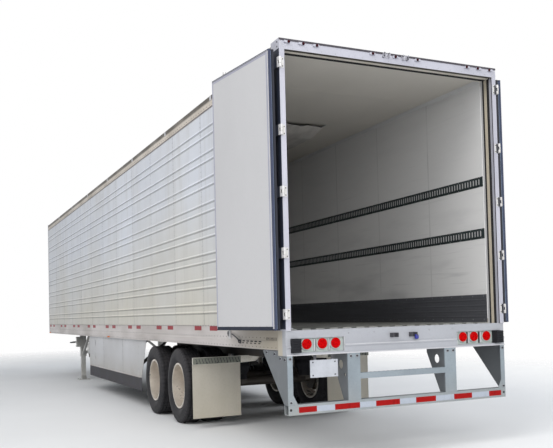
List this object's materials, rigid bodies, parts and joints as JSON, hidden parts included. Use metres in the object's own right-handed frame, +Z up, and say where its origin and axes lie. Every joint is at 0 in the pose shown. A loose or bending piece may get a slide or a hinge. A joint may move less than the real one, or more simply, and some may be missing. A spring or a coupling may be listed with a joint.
{
  "type": "insulated semi trailer",
  "caption": "Long insulated box semi trailer with rear doors folded back, tandem twin wheels, skirts, rear guard, landing gear, kingpin and a nose refrigeration unit.",
  "frame": {"origin": "on the kingpin's axis, in the plane of the coupler plate's underside", "axes": "+X forward, towards the nose; +Y to the trailer's left; +Z up. The ground is 1.12 m below the origin."},
  "size_m": [16.644, 3.0334, 4.08],
  "materials": {
    "wall_skin": "satin coated sheet",
    "rail_alloy": "weathered extrusion",
    "frame_steel": "satin stainless",
    "liner": "smooth laminate",
    "floor_alloy": "worn extrusion",
    "scuff_alloy": "dark scuffed plate",
    "track_steel": "dark enamel",
    "guard_steel": "galvanised",
    "chassis_steel": "black paint, dusty",
    "chassis_alloy": "mill finish",
    "lamp_red": "clear red lens",
    "lamp_amber": "clear amber lens",
    "black_rubber": "matt",
    "seal_rubber": "dark blue, matt",
    "tyre": "matt",
    "wheel_alloy": "cast and polished",
    "skirt_panel": "satin",
    "skirt_rubber": "matt",
    "flap_plastic": "dusty",
    "duct_cloth": "coated weave",
    "unit_shell": "smooth",
    "unit_dark": "textured",
    "plate_white": "bare painted plate",
    "fitting_steel": "zinc plated"
  },
  "bodies": {
    "trailer": {"side_wall_left": "wall_skin", "side_wall_right": "wall_skin", "front_wall": "wall_skin", "roof_panel": "liner", "floor_deck": "floor_alloy", "top_rails": "rail_alloy", "bottom_rails": "rail_alloy", "cross_members": "chassis_steel", "rear_frame": "frame_steel", "rear_sill": "frame_steel", "tail_lamps": "lamp_red", "marker_lamps": "lamp_red", "side_markers": "lamp_amber", "dock_buffers": "black_rubber", "rear_guard": "guard_steel", "plate_panel": "plate_white", "scuff_bands": "scuff_alloy", "cargo_tracks": "track_steel", "air_chute": "duct_cloth", "coupler": "chassis_steel", "kingpin": "fitting_steel", "landing_legs": "chassis_alloy", "landing_brace": "chassis_alloy", "slider_frame": "chassis_steel", "trailing_arms": "chassis_steel", "air_springs": "black_rubber", "shock_absorbers": "fitting_steel", "axle_rear": "chassis_steel", "axle_front": "chassis_steel", "skirts": "skirt_panel", "skirt_edges": "skirt_rubber", "skirt_struts": "chassis_steel", "flap_hangers": "fitting_steel", "mud_flaps": "flap_plastic", "unit_housing": "unit_shell", "unit_grille": "unit_dark", "fuel_tank": "chassis_alloy", "front_connections": "fitting_steel", "frame_hinges": "fitting_steel", "rod_keepers": "fitting_steel"},
    "swing_door_left": {"door_left": "liner", "door_seal_left": "seal_rubber", "door_hardware_left": "fitting_steel"},
    "swing_door_right": {"door_right": "liner", "door_seal_right": "seal_rubber", "door_hardware_right": "fitting_steel"},
    "twin_wheel_rear_left": {"tyres_rear_left": "tyre", "wheel_rear_left": "wheel_alloy"},
    "twin_wheel_rear_right": {"tyres_rear_right": "tyre", "wheel_rear_right": "wheel_alloy"},
    "twin_wheel_front_left": {"tyres_front_left": "tyre", "wheel_front_left": "wheel_alloy"},
    "twin_wheel_front_right": {"tyres_front_right": "tyre", "wheel_front_right": "wheel_alloy"}
  },
  "joints": [
    {"name": "door_swing_left", "type": "hinge", "parent": "trailer", "child": "swing_door_left", "pos_m": [-15.264, 1.2985, 1.48194], "axis": [0, 0, -1], "range_deg": [-263, 3]},
    {"name": "door_swing_right", "type": "hinge", "parent": "trailer", "child": "swing_door_right", "pos_m": [-15.264, -1.2985, 1.48194], "axis": [0, 0, 1], "range_deg": [-266, 0]},
    {"name": "wheel_spin_rear_left", "type": "hinge", "parent": "trailer", "child": "twin_wheel_rear_left", "pos_m": [-11.493, 0.985, -0.615], "axis": [0, 1, 0], "continuous": true},
    {"name": "wheel_spin_rear_right", "type": "hinge", "parent": "trailer", "child": "twin_wheel_rear_right", "pos_m": [-11.493, -0.985, -0.615], "axis": [0, 1, 0], "continuous": true},
    {"name": "wheel_spin_front_left", "type": "hinge", "parent": "trailer", "child": "twin_wheel_front_left", "pos_m": [-10.244, 0.985, -0.615], "axis": [0, 1, 0], "continuous": true},
    {"name": "wheel_spin_front_right", "type": "hinge", "parent": "trailer", "child": "twin_wheel_front_right", "pos_m": [-10.244, -0.985, -0.615], "axis": [0, 1, 0], "continuous": true}
  ]
}
